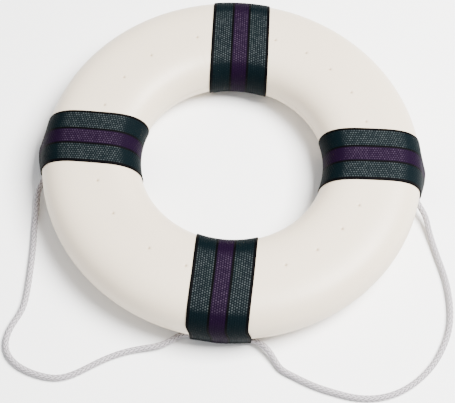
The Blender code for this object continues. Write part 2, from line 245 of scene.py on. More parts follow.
def soft_noise(turn: np.ndarray, up: np.ndarray, seed: int, waves: int = 24) -> np.ndarray:
    """Sum cosine waves of random phase and tilt, 3 to 159 of them round the ring, so each closes.

    Args:
        turn: Angle round the ring in radians.
        up: Height in millimetres.
        seed: Start of the random draw.
        waves: How many waves are summed.

    Returns:
        Values that mostly lie between -1 and 1.
    """
    draw = np.random.default_rng(seed)
    counts, tilts = draw.integers(3, 160, waves), draw.uniform(-0.5, 0.5, waves)
    phases = draw.uniform(0, 2 * np.pi, waves)
    total = sum(np.cos(c * turn + t * up + p) for c, t, p in zip(counts, tilts, phases))
    return total / np.sqrt(waves)


# ---------------------------------------------------------------- materials


class Board:
    """A shader tree that takes nodes by kind, with values or links named by socket."""

    def __init__(self, tree: bpy.types.NodeTree) -> None:
        """Hold the tree that nodes are added to."""
        self.tree = tree

    def add(self, kind: str, inputs: dict | None = None, **settings: object) -> bpy.types.Node:
        """Add one node.

        Args:
            kind: Node type without its ShaderNode prefix.
            inputs: Value or output socket for each input, by name or number.
            settings: Properties of the node itself.

        Returns:
            The new node.
        """
        node = self.tree.nodes.new(kind if kind.startswith("Node") else "ShaderNode" + kind)
        for key, value in settings.items():
            setattr(node, key, value)
        for key, value in (inputs or {}).items():
            if isinstance(value, bpy.types.NodeSocket):
                self.tree.links.new(value, node.inputs[key])
            else:
                node.inputs[key].default_value = value
        return node

    def math(self, operation: str, *values: object, clamp: bool = False) -> bpy.types.NodeSocket:
        """Add a Math node on numbers or sockets, and return its output."""
        inputs = dict(enumerate(values))
        return self.add("Math", inputs, operation=operation, use_clamp=clamp).outputs[0]

    def mix(self, share: object, first: object, second: object) -> bpy.types.NodeSocket:
        """Add a colour Mix node between two colours, and return its output."""
        node = self.add("Mix", {"Factor": share}, data_type="RGBA")
        for socket, value in ((node.inputs[6], first), (node.inputs[7], second)):
            if isinstance(value, bpy.types.NodeSocket):
                self.tree.links.new(value, socket)
            else:
                socket.default_value = (*value, 1.0)
        return node.outputs[2]

    def group(self, shared: bpy.types.NodeTree, inputs: dict) -> bpy.types.Node:
        """Place a shared node group with its own value or link for each input."""
        return self.add("Group", inputs, node_tree=shared)

    def finish(
        self,
        shader: bpy.types.Node,
        colour: bpy.types.NodeSocket,
        rough: object,
        bump: float,
        depth: float,
        height: bpy.types.NodeSocket,
    ) -> None:
        """Feed a Principled shader.

        Args:
            shader: The shader.
            colour: Its base colour.
            rough: Its roughness, a number or a socket.
            bump: Strength of its bumps.
            depth: How deep the bumps are.
            height: Their height.
        """
        normal = self.add("Bump", {"Strength": bump, "Distance": depth, "Height": height})
        self.tree.links.new(colour, shader.inputs["Base Color"])
        self.tree.links.new(normal.outputs[0], shader.inputs["Normal"])
        if isinstance(rough, bpy.types.NodeSocket):
            self.tree.links.new(rough, shader.inputs["Roughness"])
        else:
            shader.inputs["Roughness"].default_value = rough


def open_group(
    name: str, inputs: dict[str, str], outputs: dict[str, str]
) -> tuple[Board, dict, bpy.types.Node]:
    """Start a shared node group.

    Args:
        name: The group's name.
        inputs: Socket kind for each named input.
        outputs: Socket kind for each named output.

    Returns:
        Its board, its input sockets by name, and its output node.
    """
    tree = bpy.data.node_groups.new(name, "ShaderNodeTree")
    for label, kind in inputs.items():
        tree.interface.new_socket(label, in_out="INPUT", socket_type="NodeSocket" + kind)
    for label, kind in outputs.items():
        tree.interface.new_socket(label, in_out="OUTPUT", socket_type="NodeSocket" + kind)
    board = Board(tree)
    source = board.add("NodeGroupInput")
    return board, {s.name: s for s in source.outputs if s.name}, board.add("NodeGroupOutput")


def grain_group() -> bpy.types.NodeTree:
    """Skin grain: broad mottling as a mask, and fine bumps over it as a height."""
    board, given, out = open_group(
        "skin_grain",
        {"Vector": "Vector", "Scale": "Float", "Grain": "Float"},
        {"Mottle": "Float", "Height": "Float"},
    )
    place = given["Vector"]
    broad = board.add("TexNoise", {"Vector": place, "Scale": given["Scale"], "Detail": 4.0})
    fine_scale = board.math("MULTIPLY", given["Scale"], given["Grain"])
    fine = board.add("TexNoise", {"Vector": place, "Scale": fine_scale, "Detail": 2.0})
    height = board.math("MULTIPLY_ADD", broad.outputs[0], 0.35, fine.outputs[0])
    board.tree.links.new(broad.outputs[0], out.inputs["Mottle"])
    board.tree.links.new(height, out.inputs["Height"])
    return board.tree


def weave_group() -> bpy.types.NodeTree:
    """Woven crowns on a staggered grid: each is round and highest in its middle, with gaps between.

    Every other column is half a step along, and a crown is one less four times the squared distance
    from the middle of its cell. Its shine is a random number of its own.
    """
    board, given, out = open_group(
        "woven_crowns",
        {"Vector": "Vector", "Across": "Float", "Along": "Float"},
        {"Crown": "Float", "Rib": "Float", "Shine": "Float"},
    )
    parts = board.add("SeparateXYZ", {"Vector": given["Vector"]})
    column = board.math("DIVIDE", parts.outputs[0], given["Across"])
    odd = board.math("FLOORED_MODULO", board.math("FLOOR", column), 2.0)
    half = board.math("MULTIPLY", odd, 0.5)
    row = board.math("ADD", board.math("DIVIDE", parts.outputs[1], given["Along"]), half)
    side = board.math("SUBTRACT", board.math("FRACT", column), 0.5)
    ahead = board.math("SUBTRACT", board.math("FRACT", row), 0.5)
    squares = [board.math("MULTIPLY", off, off) for off in (side, ahead)]
    spread = board.math("ADD", *squares)
    crown = board.math("MULTIPLY_ADD", spread, -4.0, 1.0, clamp=True)
    rib = board.math("SINE", board.math("MULTIPLY", parts.outputs[0], 2 * np.pi / RIB_PITCH))
    cell = board.add("CombineXYZ", {"X": board.math("FLOOR", column), "Y": board.math("FLOOR", row)})
    shine = board.add("TexWhiteNoise", {"Vector": cell.outputs[0]}, noise_dimensions="2D")
    board.tree.links.new(shine.outputs[0], out.inputs["Shine"])
    board.tree.links.new(crown, out.inputs["Crown"])
    board.tree.links.new(rib, out.inputs["Rib"])
    return board.tree


def open_material(name: str) -> tuple[bpy.types.Material, Board, bpy.types.Node]:
    """Start a material.

    Args:
        name: The material's name.

    Returns:
        The material, its board, and its Principled shader.
    """
    material = bpy.data.materials.new(name)
    material.use_nodes = True
    return material, Board(material.node_tree), material.node_tree.nodes["Principled BSDF"]


@dataclass(frozen=True)
class SkinFinish:
    """Satin moulded plastic: the stain shows faintly in broad patches and darkens the parting line;
    in the vent pits and the line's nicks its colour is painted shade.
    """

    name: str = "ivory_skin"
    base: Colour = (0.66, 0.565, 0.44)
    stain_and_shade: Colour = (0.36, 0.27, 0.17)
    roughness: float = 0.42
    scale: float = 9.0
    grain: float = 90.0
    bump: float = 0.06
    bump_depth: float = 2.0 * MM
    mottle: float = 0.5
    mottle_level: float = -0.19
    rough_swing: float = 0.16

    def build(self, grain: bpy.types.NodeTree) -> bpy.types.Material:
        """Make the material.

        Args:
            grain: The shared skin grain group.

        Returns:
            The finished material.
        """
        material, board, shader = open_material(self.name)
        place = board.add("TexCoord").outputs["Object"]
        skin = board.group(grain, {"Vector": place, "Scale": self.scale, "Grain": self.grain})
        pit = board.add("Attribute", attribute_name="pit").outputs["Fac"]
        patches = skin.outputs["Mottle"]
        share = board.math("MULTIPLY_ADD", patches, self.mottle, self.mottle_level, clamp=True)
        aged = tuple(0.5 * (b + s) for b, s in zip(self.base, self.stain_and_shade))
        # painted shade: the pit attribute pulls the colour to the stain in the vent pits and the
        # parting line's nicks, and darkens the line itself
        marked = board.mix(pit, board.mix(share, self.base, aged), self.stain_and_shade)
        least_rough = self.roughness - self.rough_swing / 2
        rough = board.math("MULTIPLY_ADD", patches, self.rough_swing, least_rough)
        board.finish(shader, marked, rough, self.bump, self.bump_depth, skin.outputs["Height"])
        return material


@dataclass(frozen=True)
class WebbingFinish:
    """Striped webbing: dark edges and guard lines, two green bands and a violet one, all woven, with
    painted glints on the crowns.
    """

    name: str = "striped_webbing"
    dark: Colour = (0.0003, 0.0003, 0.0006)
    green: Colour = (0.0003, 0.0026, 0.0038)
    # the crown colours are painted glints, laid on the crowns only where the band faces the glint
    # way
    green_glint: Colour = (0.040, 0.046, 0.047)
    violet: Colour = (0.0038, 0.0007, 0.0068)
    violet_glint: Colour = (0.033, 0.022, 0.037)
    shine: float = 0.03
    cell: tuple[float, float] = WEAVE_CELL
    # ends of the violet band, the guard line and the green band, in millimetres from the middle
    edges: tuple[float, float, float] = (9.8, 12.7, 35.5)
    # a crown's painted glint: the least brightness, and how much more chance may add
    dullest: float = 0.30
    spread: float = 0.75
    rib: float = 0.12
    roughness: float = 0.72
    crown_polish: float = -0.25
    bump: float = 0.55
    bump_depth: float = 0.3 * MM

    def build(self, weave: bpy.types.NodeTree) -> bpy.types.Material:
        """Make the material.

        Args:
            weave: The shared woven crowns group.

        Returns:
            The finished material.
        """
        material, board, shader = open_material(self.name)
        cloth = board.add("UVMap", uv_map="cloth").outputs[0]
        across, along = self.cell
        cells = board.group(weave, {"Vector": cloth, "Across": across, "Along": along})
        off = board.math("ABSOLUTE", board.add("SeparateXYZ", {"Vector": cloth}).outputs[0])
        past = [board.math("GREATER_THAN", off, edge) for edge in self.edges]
        speck = board.math("POWER", cells.outputs["Crown"], 2.0)
        # painted glint: pale crowns where the band faces the glint way, each crown with its own
        # random brightness
        painted_glint = board.add("Attribute", attribute_name="painted_glint").outputs["Fac"]
        uneven = board.math("MULTIPLY_ADD", cells.outputs["Shine"], self.spread, self.dullest)
        share = board.math("MULTIPLY", board.math("MULTIPLY", speck, uneven), painted_glint, clamp=True)
        violet = board.mix(share, self.violet, self.violet_glint)
        green = board.mix(share, self.green, self.green_glint)
        band = violet
        for mask, colour in zip(past, (self.dark, green, self.dark)):
            band = board.mix(mask, band, colour)
        ribs = board.math("MULTIPLY_ADD", cells.outputs["Rib"], self.rib, cells.outputs["Crown"])
        rough = board.math("MULTIPLY_ADD", speck, self.crown_polish, self.roughness)
        shader.inputs["Specular IOR Level"].default_value = self.shine
        board.finish(shader, band, rough, self.bump, self.bump_depth, ribs)
        return material


@dataclass(frozen=True)
class FibreFinish:
    """Twisted yarn: threads run along each strand, with painted shade in the gaps between strands.
    """

    name: str
    bright: Colour
    # deep: painted shade, the colour of the low gaps between strands
    deep: Colour
    roughness: float
    threads: float = 5.0
    fuzz_scale: float = 700.0
    fuzz: float = 0.5
    thread_height: float = 0.4
    bump: float = 0.35
    bump_depth: float = 0.2 * MM

    def build(self) -> bpy.types.Material:
        """Make the material, which reads the piece's own crown and yarn attributes."""
        material, board, shader = open_material(self.name)
        crown = board.add("Attribute", attribute_name="crown").outputs["Fac"]
        yarn = board.add("Attribute", attribute_name="yarn").outputs["Fac"]
        thread = board.math("SINE", board.math("MULTIPLY", yarn, 2 * np.pi * self.threads))
        place = board.add("TexCoord").outputs["Object"]
        noise = board.add("TexNoise", {"Vector": place, "Scale": self.fuzz_scale, "Detail": 2.0})
        fuzz = noise.outputs[0]
        off = board.math("SUBTRACT", fuzz, 0.5)
        share = board.math("MULTIPLY_ADD", off, self.fuzz, crown, clamp=True)
        # painted shade: the low gaps between strands take the deep colour
        colour = board.mix(share, self.deep, self.bright)
        height = board.math("MULTIPLY_ADD", thread, self.thread_height, fuzz)
        board.finish(shader, colour, self.roughness, self.bump, self.bump_depth, height)
        return material


# ---------------------------------------------------------------- the ring's form


@dataclass(frozen=True)
class RingForm:
    """The ring's section and its sweep.

    The section is a squared oval: |across / half width| raised to the power, plus the square of
    up / half depth, is 1.
    """

    outer_r: float
    inner_r: float
    half_depth: float
    middle_z: float
    power: float = 3.6
    wall: float = 2.5 * MM
    gap: float = 0.3 * MM
    lip: float = 4.0 * MM
    fine_reach: float = 2.2 * MM

    @property
    def half_width(self) -> float:
        """Half the section's width."""
        return (self.outer_r - self.inner_r) / 2

    @property
    def middle_r(self) -> float:
        """Radius of the ring's middle line."""
        return (self.outer_r + self.inner_r) / 2

    def section(self, degrees: np.ndarray, inset: float = 0.0) -> tuple[np.ndarray, np.ndarray]:
        """Points and outward normals of the section.

        Args:
            degrees: Places round the section.
            inset: How far inside the skin.

        Returns:
            Points and unit normals as (across, up).
        """
        turn = np.radians(degrees)
        wide, deep = self.half_width - inset, self.half_depth - inset
        share = np.sign(np.cos(turn)) * np.abs(np.cos(turn)) ** (2 / self.power)
        points = np.stack([wide * share, deep * np.sin(turn)], axis=-1)
        pull = self.power * np.sign(share) * np.abs(share) ** (self.power - 1) / wide
        normals = np.stack([pull, 2 * np.sin(turn) / deep], axis=-1)
        return points, normals / np.linalg.norm(normals, axis=-1, keepdims=True)

    def to_world(self, across: np.ndarray, up: np.ndarray, turn: np.ndarray) -> np.ndarray:
        """Carry places on the section round the ring by turns in radians."""
        reach = self.middle_r + across
        height = np.broadcast_to(self.middle_z + up, np.broadcast(reach, turn).shape)
        return np.stack([reach * np.cos(turn), reach * np.sin(turn), height], axis=-1)

    def skin_angles(self, coarse: float, fine: float, across_spot: float) -> np.ndarray:
        """Places over one half of the section, from parting line to parting line.

        Args:
            coarse: Usual distance between places.
            fine: Distance near the parting lines and near one spot.
            across_spot: That spot, across from the middle line.

        Returns:
            Places in degrees.
        """
        share = np.linspace(-1, 1, CURVE_SAMPLES)
        even = np.sign(share) * np.abs(share) ** (self.power / 2)
        wide = np.degrees(np.arccos(np.clip(even, -1, 1)))
        start = np.degrees(np.arcsin(self.gap / 2 / self.half_depth))
        angles = np.linspace(start, 180 - start, CURVE_SAMPLES)
        angles = np.unique(np.r_[angles, np.clip(wide, start, 180 - start)])
        points = self.section(angles)[0]
        length = np.r_[0, np.cumsum(np.linalg.norm(np.diff(points, axis=0), axis=1))]
        upper = np.interp(-across_spot, -points[:, 0], length)
        spots = np.array([0.0, upper, length[-1]])
        stations = graded(0, length[-1], coarse, fine, self.fine_reach, spots)
        return np.interp(stations, length, angles)


@dataclass
class MouldedSkin:
    """The two moulded halves: vent pits round the face, a nicked parting line, a filling plug."""

    form: RingForm
    # turns in degrees
    pits: tuple[float, ...] = (
        16, 31.5, 46, 59, 73.7, 108, 130, 146, 162,
        199, 215.5, 237, 253.5, 293.6, 308, 322, 335, 349,
    )
    pit_r: float = 183.5 * MM
    pit_size: float = 1.7 * MM
    pit_depth: float = 0.95 * MM
    # how strongly the vent pits are darkened with painted shade
    pit_shade: float = 1.15
    # the pits' proud rim: its place and width as multiples of the pit's size
    rim_place: float = 1.9
    rim_width: float = 0.5
    # moves of the skin in millimetres
    rim: float = 0.05
    seam: float = 0.35
    ripple: float = 0.035
    # half widths in millimetres of the seam's step, the painted shade on its nicks and its dark line
    seam_width: float = 0.7
    nick_width: float = 1.6
    line_width: float = 0.5
    line_shade: float = 0.25
    # shares of the seam's depth: plain, and where it is nicked
    seam_depth: float = 0.22
    nick_depth: float = 0.9
    nick_level: float = 1.1
    nick_seed: int = 7
    ripple_seed: int = 11
    # coarse and fine steps over the section, then round the ring with the fine ones' reach
    skin_steps: tuple[float, float] = (3.0 * MM, 0.45 * MM)
    turn_steps: tuple[float, float, float] = (0.0165, 0.0028, 0.012)
    plug_turn: float = 222.0
    plug_sides: int = 48

    def outline(self, side: int) -> tuple[np.ndarray, np.ndarray, int]:
        """Closed outline of one half: fine over its skin, plain inside.

        Args:
            side: 1 for the front half, -1 for the rear half.

        Returns:
            Points, outward directions, and how many of them are skin.
        """
        form = self.form
        angles = form.skin_angles(*self.skin_steps, self.pit_r - form.middle_r)
        outer, normals = form.section(angles)
        edge = form.wall / 2 + side * form.gap / 2
        low = -form.lip if side > 0 else form.lip + form.gap
        far = form.half_width - form.wall
        inner = form.section(np.linspace(168, 12, 17), form.wall)[0]
        start = form.gap / 2
        lip_in = [(-(form.half_width - edge), start), (-(form.half_width - edge), low), (-far, low)]
        lip_out = [(far, low), (form.half_width - edge, low), (form.half_width - edge, start)]
        points = np.vstack([outer, lip_in, inner, lip_out])
        ways = np.vstack([normals, np.zeros((len(points) - len(outer), 2))])
        return points * (1, side), ways * (1, side), len(outer)

    def half(self, side: int, name: str) -> bpy.types.Object:
        """Sweep one half round the ring.

        The skin is moved along its normal by the sum of: a pit at each vent, a bell whose edge
        stands a little proud; a shallow rounded step at the parting line, deeper where it is
        nicked; and broad moulding ripples of a few hundredths of a millimetre.

        Args:
            side: 1 for the front half, -1 for the rear half.
            name: The piece's name.

        Returns:
            The new piece.
        """
        form = self.form
        points, ways, skin = self.outline(side)
        pit_turns = np.radians(self.pits)
        turns = graded(0.0, 2 * np.pi, *self.turn_steps, pit_turns)[:-1]
        reach = form.middle_r + points[:, 0]
        off = (turns[:, None] - pit_turns[None] + np.pi) % (2 * np.pi) - np.pi
        off = np.abs(off).min(axis=1)[:, None] * self.pit_r
        away = np.hypot(off, (reach - self.pit_r)[None]) / self.pit_size
        on_face = (np.abs(points[:, 1]) > form.half_depth * 0.8)[None]
        pit = np.exp(-(away**2)) * on_face
        rim = np.exp(-(((away - self.rim_place) / self.rim_width) ** 2)) * on_face
        up = points[None, :, 1] / MM
        nicks = soft_noise(turns[:, None], up * 0.2, self.nick_seed) - self.nick_level
        nicks = np.clip(nicks, 0, 1)
        seam = np.exp(-((up / self.seam_width) ** 2)) * (self.seam_depth + self.nick_depth * nicks)
        ripple = self.ripple * soft_noise(turns[:, None], up, self.ripple_seed)
        move = -self.pit_depth * pit + (self.rim * rim - self.seam * seam + ripple) * MM
        move[:, skin:] = 0.0
        across = points[None, :, 0] + move * ways[None, :, 0]
        height = points[None, :, 1] + move * ways[None, :, 1]
        grid = form.to_world(across, height, turns[:, None])
        # painted shade: the colour darkens in the vent pits and the parting line's nicks; a thin
        # dark line runs along the parting line
        nick = np.exp(-((up / self.nick_width) ** 2)) * nicks
        line = self.line_shade * np.exp(-((up / self.line_width) ** 2))
        shade = np.clip(self.pit_shade * pit + self.nick_depth * nick + line, 0, 1)
        shade[:, skin:] = 0.0
        return make_piece(name, grid, closed_rows=True, flip=side < 0, marks={"pit": shade})

    def plug(self) -> bpy.types.Object:
        """Turn the filling plug: a low dished flange with a round edge and a stub in the skin."""
        turn = np.radians(self.plug_turn)
        middle = np.array([np.cos(turn), np.sin(turn)]) * self.form.middle_r
        skin = self.form.middle_z - self.form.half_depth
        low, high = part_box("filling_plug")
        radius = np.array([0.02, 2.5, 5.0, 7.0, 8.2, 10.0, 10.7, 11.0, 11.0, 8.0, 8.0]) * MM
        height = np.array([0.45, 0.45, 0.35, 0.1, 0.0, 0.0, 0.12, 0.45, 0.0, 0.0, 0.0]) * MM
        height += low[2]
        height[8:10] = skin - self.form.gap
        height[10] = high[2]
        around = np.linspace(0, 2 * np.pi, self.plug_sides, endpoint=False)
        ring = np.stack([np.cos(around), np.sin(around)], axis=-1)
        flat = middle + radius[:, None, None] * ring
        heights = np.broadcast_to(height[:, None, None], (*flat.shape[:2], 1))
        grid = np.concatenate([flat, heights], axis=-1)
        return make_piece("filling_plug_turned", grid, flip=True)

    def build(self, finish: bpy.types.Material) -> None:
        """Make and dress the halves and the plug."""
        for side, node in ((1, "front_shell"), (-1, "rear_shell")):
            piece = self.half(side, node.replace("shell", "skin"))
            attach(piece, "ring")
            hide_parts(node)
            dress(piece, finish)
        plug = self.plug()
        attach(plug, "ring")
        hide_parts("filling_plug")
        dress(plug, finish)


def dress(piece: bpy.types.Object, finish: bpy.types.Material) -> None:
    """Give a new piece its finish and its slot, and report it."""
    piece.data.materials.append(finish)
    log.info("%s: %d faces, %s", piece.name, len(piece.data.polygons), finish.name)


# ---------------------------------------------------------------- the rope


@dataclass
class GrabLine:
    """Braided rope through all four straps: snug round the far half, two free loops beside it."""

    form: RingForm
    radius: float = 4.0 * MM
    clear: float = 0.5 * MM
    # the joining sleeve: its radius, and in degrees of turn its reach and the length of its ends
    sleeve_r: float = 5.4 * MM
    sleeve_turn: float = 11.0
    sleeve_end: float = 5.0
    # how far off the skin the line still counts as beside the ring, and as held by a strap
    near_skin: float = 20 * MM
    held_off: float = 8 * MM
    skin_places: int = 720
    strands: int = 8
    pick: float = 6.6 * MM
    crown: float = 0.50 * MM
    weave: float = 0.34 * MM
    roundness: float = 2.2
    around: int = 48
    step: float = 0.75 * MM
    hold_step: float = 6.0
    # turn round the ring and place on its section, in degrees, where straps and ring hold the line
    on_left: tuple = (
        (89.8, -30), (105, -33), (125, -38), (152, -40), (168, -37), (178, -19), (185.2, -31),
    )
    on_bottom: tuple = ((258.3, -47), (268, -50), (277.9, -46))
    on_right: tuple = (
        (-6.8, -31), (0.5, -19), (11, -37), (27, -40), (55, -38), (75, -33), (89.8, -30),
    )
    # turns where the line is parted, under three straps, and where each stretch leaves its strap
    parted: tuple[float, float, float] = (180.6, 271.2, 2.6)
    mouths: tuple[float, float, float] = (185.8, 277.0, 8.8)
    # first and last point of a stretch of each loop, and two reaches from it
    fold_points: tuple[int, int] = (3, 16)
    fold_reach: tuple[float, float] = (25 * MM, 30 * MM)
    left_loop: tuple = (
        (-0.2572, -0.0402, 0.0140), (-0.2590, -0.0673, 0.0075), (-0.2592, -0.0883, 0.0044),
        (-0.2578, -0.1150, 0.0042), (-0.2570, -0.1480, 0.0042), (-0.2576, -0.1840, 0.0042),
        (-0.2620, -0.2160, 0.0042), (-0.2706, -0.2350, 0.0042), (-0.2764, -0.2540, 0.0042),
        (-0.2750, -0.2710, 0.0042), (-0.2660, -0.2850, 0.0042), (-0.2470, -0.2975, 0.0042),
        (-0.2260, -0.3040, 0.0042), (-0.2060, -0.3055, 0.0042), (-0.1700, -0.2900, 0.0042),
        (-0.1490, -0.2775, 0.0042), (-0.1180, -0.2645, 0.0042), (-0.1000, -0.2605, 0.0058),
        (-0.0746, -0.2535, 0.0075),
    )
    right_loop: tuple = (
        (0.0574, -0.2569, 0.0095), (0.0661, -0.2682, 0.0060), (0.0745, -0.2790, 0.0048),
        (0.0860, -0.2858, 0.0042), (0.1210, -0.3010, 0.0042), (0.1440, -0.3075, 0.0042),
        (0.1700, -0.3125, 0.0042), (0.1990, -0.3110, 0.0042), (0.2285, -0.3000, 0.0042),
        (0.2520, -0.2820, 0.0042), (0.2700, -0.2605, 0.0042), (0.2820, -0.2380, 0.0042),
        (0.2900, -0.2140, 0.0042), (0.2928, -0.1890, 0.0042), (0.2915, -0.1640, 0.0042),
        (0.2870, -0.1385, 0.0042), (0.2802, -0.1150, 0.0042), (0.2733, -0.0920, 0.0048),
        (0.2677, -0.0720, 0.0075), (0.2609, -0.0508, 0.0135),
    )
    line: np.ndarray = field(init=False, repr=False)
    along: np.ndarray = field(init=False, repr=False)

    def __post_init__(self) -> None:
        """Lay the whole line once, from the place where its ends join, round and back to it."""
        parts = [
            self.held(self.on_left),
            np.array(self.left_loop),
            self.held(self.on_bottom),
            np.array(self.right_loop),
            self.held(self.on_right),
        ]
        knots = np.vstack(parts)
        chord = np.r_[0, np.cumsum(np.linalg.norm(np.diff(knots, axis=0), axis=1))]
        points = cubic_through(chord, knots, np.linspace(0, chord[-1], CURVE_SAMPLES))
        points = self.clear_of_ring(points)
        points[:, 2] = np.maximum(points[:, 2], self.radius + self.form.gap / 2)
        self.line = points
        self.along = np.r_[0, np.cumsum(np.linalg.norm(np.diff(points, axis=0), axis=1))]

    def swell(self, degrees: np.ndarray) -> np.ndarray:
        """How much of the joining sleeve stands round the line at a turn: 1 at it, 0 beside it."""
        away = np.abs((degrees - Turn.TOP.value + 180) % 360 - 180)
        return smooth_step((self.sleeve_turn - away) / self.sleeve_end)

    def held(self, keys: tuple) -> np.ndarray:
        """Places of the line along a stretch that straps and ring hold.

        Args:
            keys: Turn round the ring and place on its section, in degrees, at a few places.

        Returns:
            Points in the order of the turns.
        """
        first, last = keys[0][0], keys[-1][0]
        count = max(3, int(round(abs(last - first) / self.hold_step)) + 1)
        turns = np.linspace(first, last, count)
        angles = cubic_through([k[0] for k in keys], [k[1] for k in keys], turns)
        points, normals = self.form.section(angles)
        radius = self.radius + (self.sleeve_r - self.radius) * self.swell(turns)
        centre = points + normals * (radius + self.clear)[:, None]
        return self.form.to_world(centre[:, 0], centre[:, 1], np.radians(turns))

    def clear_of_ring(self, points: np.ndarray) -> np.ndarray:
        """Move points that are too near the ring's skin straight out from it."""
        places = np.linspace(0, 360, self.skin_places, endpoint=False)
        skin, normals = self.form.section(places)
        turn = np.arctan2(points[:, 1], points[:, 0])
        reach = np.hypot(points[:, 0], points[:, 1]) - self.form.middle_r
        spot = np.stack([reach, points[:, 2] - self.form.middle_z], axis=-1)
        nearest = np.argmin(np.linalg.norm(spot[:, None] - skin[None], axis=-1), axis=1)
        away = np.sum((spot - skin[nearest]) * normals[nearest], axis=1)
        spot = spot + np.maximum(self.radius + self.clear - away, 0.0)[:, None] * normals[nearest]
        return self.form.to_world(spot[:, 0], spot[:, 1], turn)

    def beside_ring(self) -> tuple[np.ndarray, np.ndarray]:
        """Turn in degrees, and place on the section, of all of the line that lies near the skin."""
        turn = np.degrees(np.arctan2(self.line[:, 1], self.line[:, 0])) % 360
        reach = np.hypot(self.line[:, 0], self.line[:, 1]) - self.form.middle_r
        near = reach < self.form.half_width + self.near_skin
        order = np.argsort(turn[near])
        spot = np.stack([reach, self.line[:, 2] - self.form.middle_z], axis=-1)
        return turn[near][order], spot[near][order]

    def distance_at(self, degrees: float) -> float:
        """Distance along the line where it passes a turn round the ring, close to the skin."""
        turn = np.degrees(np.arctan2(self.line[:, 1], self.line[:, 0]))
        off = np.abs((turn - degrees + 180) % 360 - 180)
        far = np.hypot(self.line[:, 0], self.line[:, 1]) > self.form.outer_r + self.held_off
        return float(self.along[np.argmin(np.where(far, np.inf, off))])

    def stretch(self, first: float, last: float) -> np.ndarray:
        """Even places along the line between two distances, through its start if last < first."""
        length = self.along[-1]
        last = last + length if last < first else last
        stations = np.linspace(first, last, int(round((last - first) / self.step)) + 1)
        stations = stations % length
        return np.stack([np.interp(stations, self.along, axis) for axis in self.line.T], -1)

    def braid(self, name: str, path: np.ndarray) -> bpy.types.Object:
        """Braid a rope along a path.

        Eight strands wind each way. A place has two winding numbers: strands times its share of the
        way round, plus and less its distance over the pick. Each strand is round across its own
        number, and rises and dips with the other as it passes over two and under two. The surface
        is the higher of the two families.

        Args:
            name: The piece's name.
            path: Places along the rope's middle.

        Returns:
            The new piece, with its crown and yarn attributes.
        """
        ahead = np.gradient(path, axis=0)
        ahead /= np.linalg.norm(ahead, axis=1, keepdims=True)
        beside = np.cross(ahead, (0.0, 0.0, 1.0))
        beside /= np.linalg.norm(beside, axis=1, keepdims=True)
        over = np.cross(beside, ahead)
        travel = np.r_[0, np.cumsum(np.linalg.norm(np.diff(path, axis=0), axis=1))]
        share = np.arange(self.around) / self.around
        plus = self.strands * share[None] + travel[:, None] / self.pick
        less = self.strands * share[None] - travel[:, None] / self.pick
        tops, yarns = [], []
        for own, other, sign in ((plus, less, 1), (less, plus, -1)):
            side = own - np.round(own)
            dip = sign * np.cos(np.pi / 2 * (np.round(own) + other - 0.5))
            strand = self.crown * (1 - np.abs(2 * side) ** self.roundness)
            tops.append(strand + self.weave * dip)
            yarns.append(side + 0.5)
        top = np.maximum(tops[0], tops[1])
        yarn = np.where(tops[0] > tops[1], yarns[0], yarns[1])
        highest = self.crown + self.weave
        radius = self.radius - highest + top
        angle = 2 * np.pi * share[None, :, None]
        spoke = np.cos(angle) * beside[:, None] + np.sin(angle) * over[:, None]
        grid = path[:, None] + radius[:, :, None] * spoke
        # crown: high where strands stand proud and kept bright there; the low gaps get painted shade
        # in the finish
        crown = smooth_step((top / highest - 0.25) / 0.6)
        return make_piece(name, grid, marks={"crown": crown, "yarn": yarn}, crease=80)

    def build(self, finish: bpy.types.Material) -> None:
        """Make the two loops and the snug far half, and hide the CAD stretches that they stand for.
        """
        left, low, right = map(self.distance_at, self.parted)
        nodes = {
            "rope_left_loop": ("grab_line_left_loop", "grab_line_lower"),
            "rope_right_loop": ("grab_line_right_loop",),
            "rope_far_half": ("grab_line_upper_left", "grab_line_upper_right"),
        }
        ends = ((left, low), (low, right), (right, left))
        bodies = (("left_loop", self.left_loop), ("right_loop", self.right_loop), ("ring", ()))
        for name, (first, last), (body, loop), mouth in zip(nodes, ends, bodies, self.mouths):
            path = self.stretch(first, last)
            rope = self.braid(name, path)
            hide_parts(*nodes[name])
            if loop:
                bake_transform(rope)
            else:
                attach(rope, body)
            dress(rope, finish)


# ---------------------------------------------------------------- the webbing


